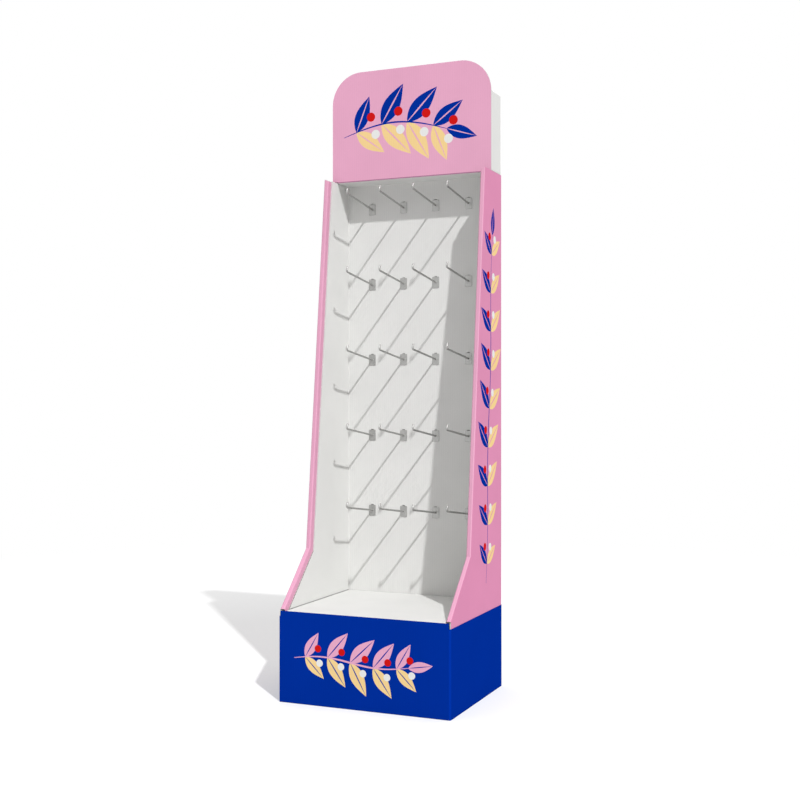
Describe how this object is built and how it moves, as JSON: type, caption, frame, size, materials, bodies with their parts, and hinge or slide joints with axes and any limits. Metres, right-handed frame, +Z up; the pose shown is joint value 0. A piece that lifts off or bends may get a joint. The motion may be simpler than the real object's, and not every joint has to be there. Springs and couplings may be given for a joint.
{
  "type": "cardboard display stand",
  "caption": "Tall cardboard floor display: printed base with a display floor, slanted hollow side walls, a peg panel with rows of wire hooks and a box header.",
  "frame": {"origin": "on the ground, at the middle of the footprint", "axes": "+X to the right as seen from the front, +Y to the back, +Z up; the open front faces -Y"},
  "size_m": [0.463, 0.386, 1.654],
  "materials": {
    "pink_board": "matt print on white corrugated board",
    "blue_card": "matt print on thin card",
    "white_board": "unprinted white corrugated board",
    "plated_steel": "zinc-plated wire"
  },
  "bodies": {
    "root": {"outer_shell": "pink_board", "header_card": "pink_board", "base_wrap": "blue_card", "inner_liner": "white_board", "base_tray": "white_board", "header_box": "white_board", "base_divider_wide": "white_board", "base_divider_deep": "white_board", "peg_hook_row1_col1": "plated_steel", "peg_hook_row1_col2": "plated_steel", "peg_hook_row1_col3": "plated_steel", "peg_hook_row1_col4": "plated_steel", "peg_hook_row2_col1": "plated_steel", "peg_hook_row2_col2": "plated_steel", "peg_hook_row2_col3": "plated_steel", "peg_hook_row2_col4": "plated_steel", "peg_hook_row3_col1": "plated_steel", "peg_hook_row3_col2": "plated_steel", "peg_hook_row3_col3": "plated_steel", "peg_hook_row3_col4": "plated_steel", "peg_hook_row4_col1": "plated_steel", "peg_hook_row4_col2": "plated_steel", "peg_hook_row4_col3": "plated_steel", "peg_hook_row4_col4": "plated_steel", "peg_hook_row5_col1": "plated_steel", "peg_hook_row5_col2": "plated_steel", "peg_hook_row5_col3": "plated_steel", "peg_hook_row5_col4": "plated_steel"}
  },
  "joints": []
}
